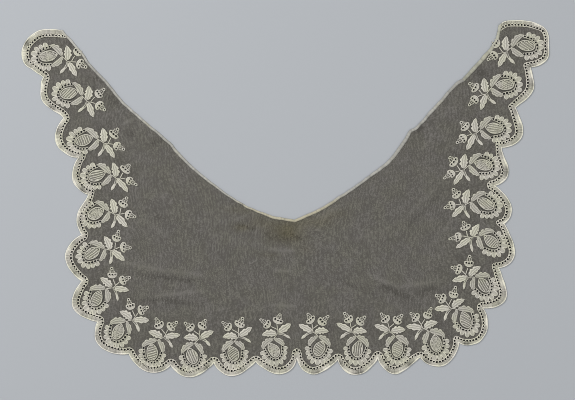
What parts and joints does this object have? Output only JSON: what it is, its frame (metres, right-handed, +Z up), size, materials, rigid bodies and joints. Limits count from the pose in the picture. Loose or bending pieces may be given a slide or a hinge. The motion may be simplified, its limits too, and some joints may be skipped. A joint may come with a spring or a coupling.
{
  "type": "lace collar",
  "caption": "Wide flat muslin collar with a scalloped eyelet edge, a white embroidered sprig in each scallop and a bound V-shaped neck, laid out flat.",
  "frame": {"origin": "middle of the outline's box, on the underside that rests on the surface", "axes": "+X to the front point at the picture's right, +Y to the neck opening at the picture's top, +Z up out of the worked face"},
  "size_m": [0.527, 0.357, 0.0023],
  "materials": {
    "muslin": "sheer, soft, faintly streaked",
    "edge_thread": "close buttonhole and satin stitch, slight sheen",
    "sprig_thread": "padded satin stitch, slight sheen",
    "binding": "plain cotton strip, matt",
    "old_binding": "plain cotton strip, yellowed, matt"
  },
  "bodies": {
    "root": {"muslin_ground": "muslin", "scalloped_edging": "edge_thread", "neck_binding_left": "binding", "neck_binding_right": "binding", "neck_binding_front": "old_binding", "sprig_01": "sprig_thread", "sprig_02": "sprig_thread", "sprig_03": "sprig_thread", "sprig_04": "sprig_thread", "sprig_05": "sprig_thread", "sprig_06": "sprig_thread", "sprig_07": "sprig_thread", "sprig_08": "sprig_thread", "sprig_09": "sprig_thread", "sprig_10": "sprig_thread", "sprig_11": "sprig_thread", "sprig_12": "sprig_thread", "sprig_13": "sprig_thread", "sprig_14": "sprig_thread", "sprig_15": "sprig_thread", "sprig_16": "sprig_thread", "sprig_17": "sprig_thread", "sprig_18": "sprig_thread", "sprig_19": "sprig_thread", "sprig_20": "sprig_thread", "sprig_21": "sprig_thread", "sprig_22": "sprig_thread", "sprig_23": "sprig_thread", "sprig_24": "sprig_thread"}
  },
  "joints": []
}
